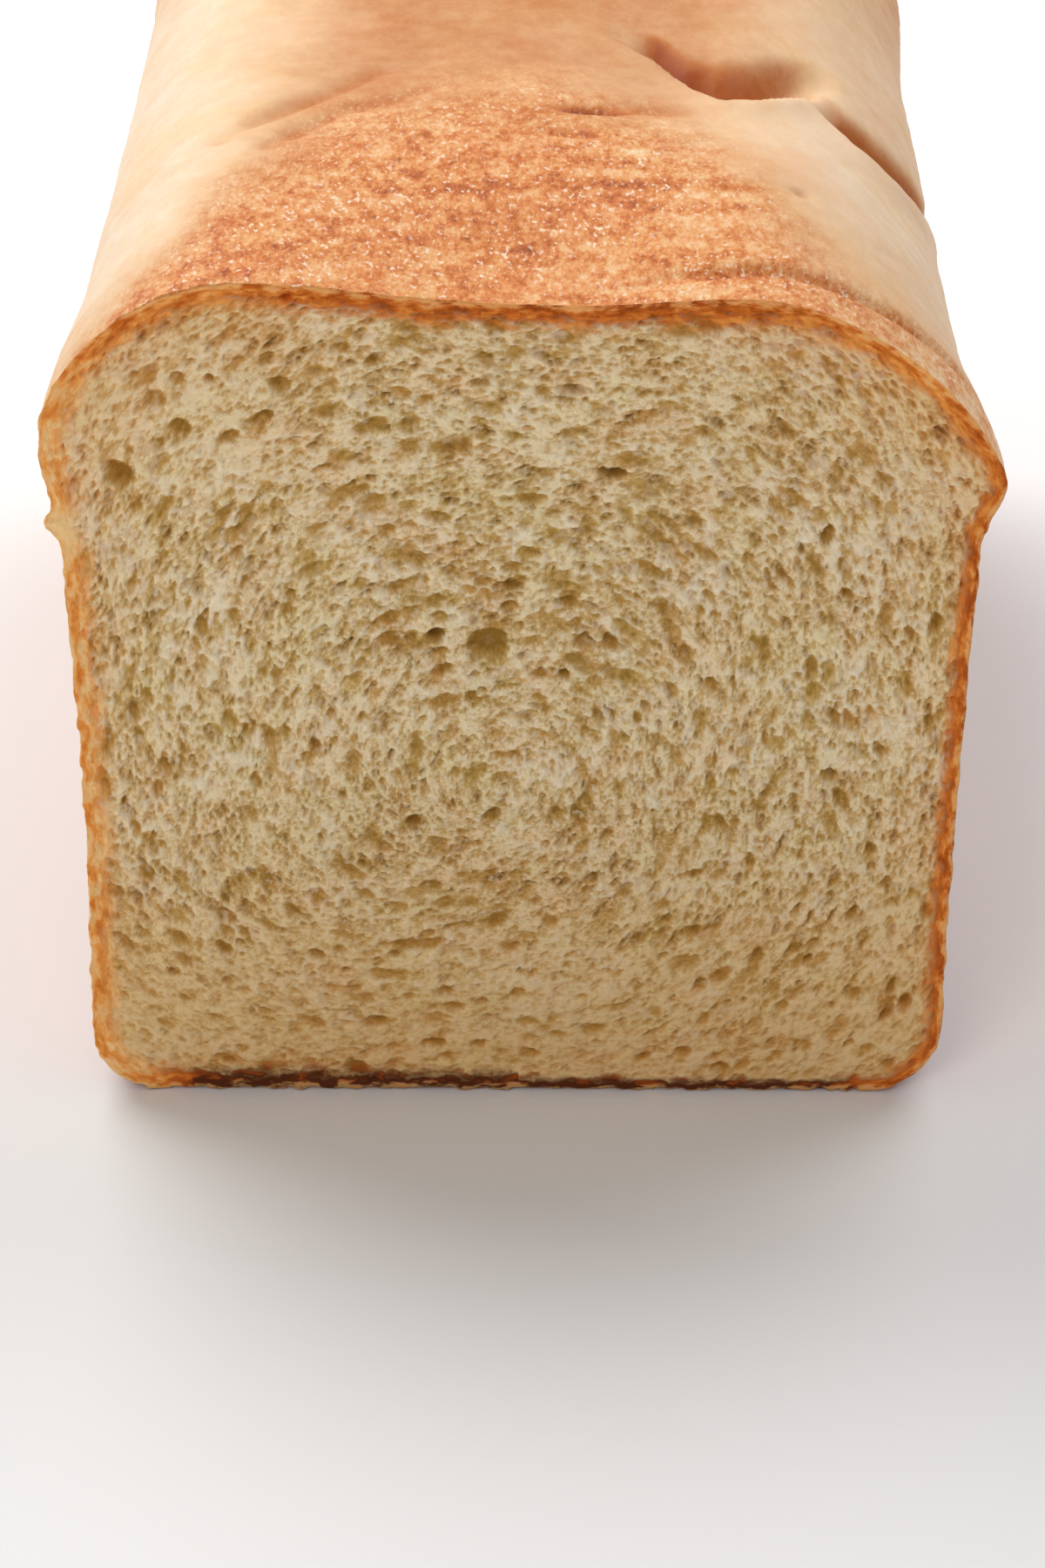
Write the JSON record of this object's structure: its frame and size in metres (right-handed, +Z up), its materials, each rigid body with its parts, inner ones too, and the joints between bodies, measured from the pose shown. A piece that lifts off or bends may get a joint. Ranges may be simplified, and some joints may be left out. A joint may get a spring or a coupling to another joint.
{
  "type": "tin loaf",
  "caption": "White sandwich loaf baked in a straight-sided tin, first slices cut off to show the crumb, with a soft golden top, pale shoulders and a fold across the crust.",
  "frame": {"origin": "middle of the loaf's box, on the surface it rests on", "axes": "+Y from the cut face to the heel, along the loaf; +Z up; +X to the right of someone who looks at the cut face"},
  "size_m": [0.1178, 0.2156, 0.1158],
  "materials": {
    "crust": "satin",
    "crumb": "matt"
  },
  "bodies": {
    "root": {"loaf": "crust"}
  },
  "joints": []
}
